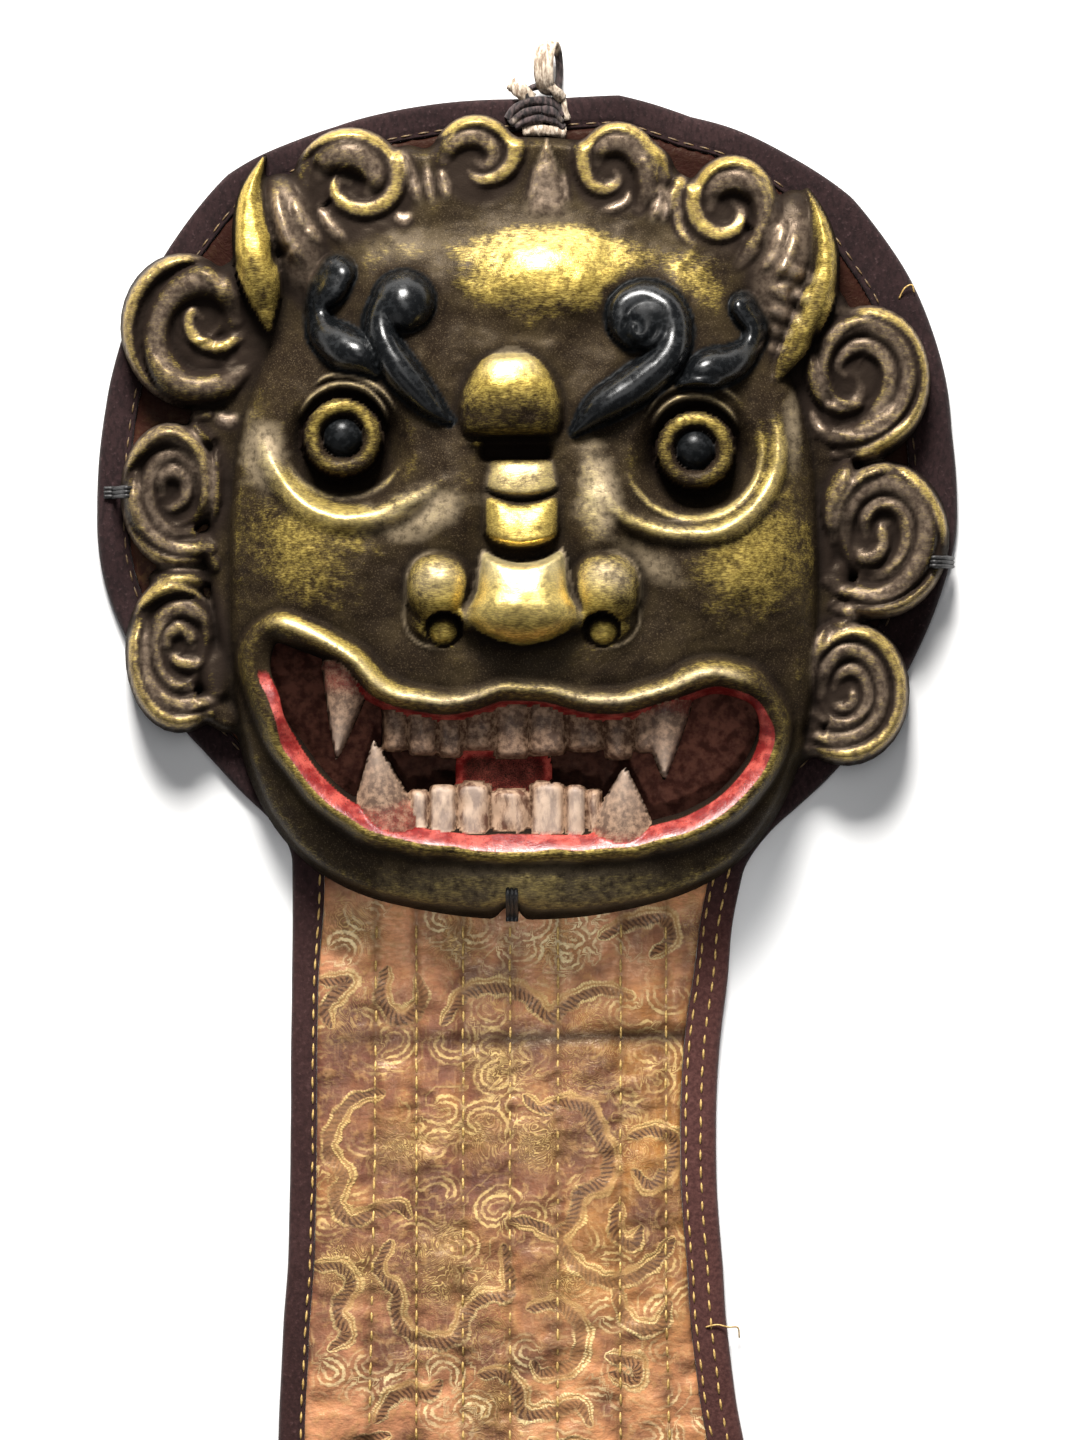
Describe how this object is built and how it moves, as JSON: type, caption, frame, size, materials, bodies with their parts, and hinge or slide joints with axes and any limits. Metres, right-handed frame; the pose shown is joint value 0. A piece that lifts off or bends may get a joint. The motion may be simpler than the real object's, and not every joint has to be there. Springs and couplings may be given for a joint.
{
  "type": "lion demon mask on a cloth hanging",
  "caption": "Moulded and gilded lion-demon face with curled hair, horns and fangs, sewn onto a quilted brocade hanging with a bound edge and a cloth loop.",
  "frame": {"origin": "on the underside of the lining, behind the root of the nose", "axes": "+Z out of the face, up as it lies on its back; +Y towards the crown and the hanging loop; the band runs along -Y"},
  "size_m": [0.2146, 0.4264, 0.0438],
  "materials": {
    "gilded_lacquer": "dark lacquer over papier-mache with rubbed gold on the high parts",
    "brocade": "copper and gold figured silk, quilted",
    "lining_cloth": "plain matt cotton",
    "binding_cloth": "dark maroon matt cloth",
    "tape_cloth": "faded folded tape",
    "black_thread": "waxed thread"
  },
  "bodies": {
    "root": {"lion_face": "gilded_lacquer", "brocade_panel": "brocade", "back_lining": "lining_cloth", "edge_binding": "binding_cloth", "hanging_loop": "tape_cloth", "tie_left": "black_thread", "tie_right": "black_thread", "tie_chin": "black_thread"}
  },
  "joints": []
}
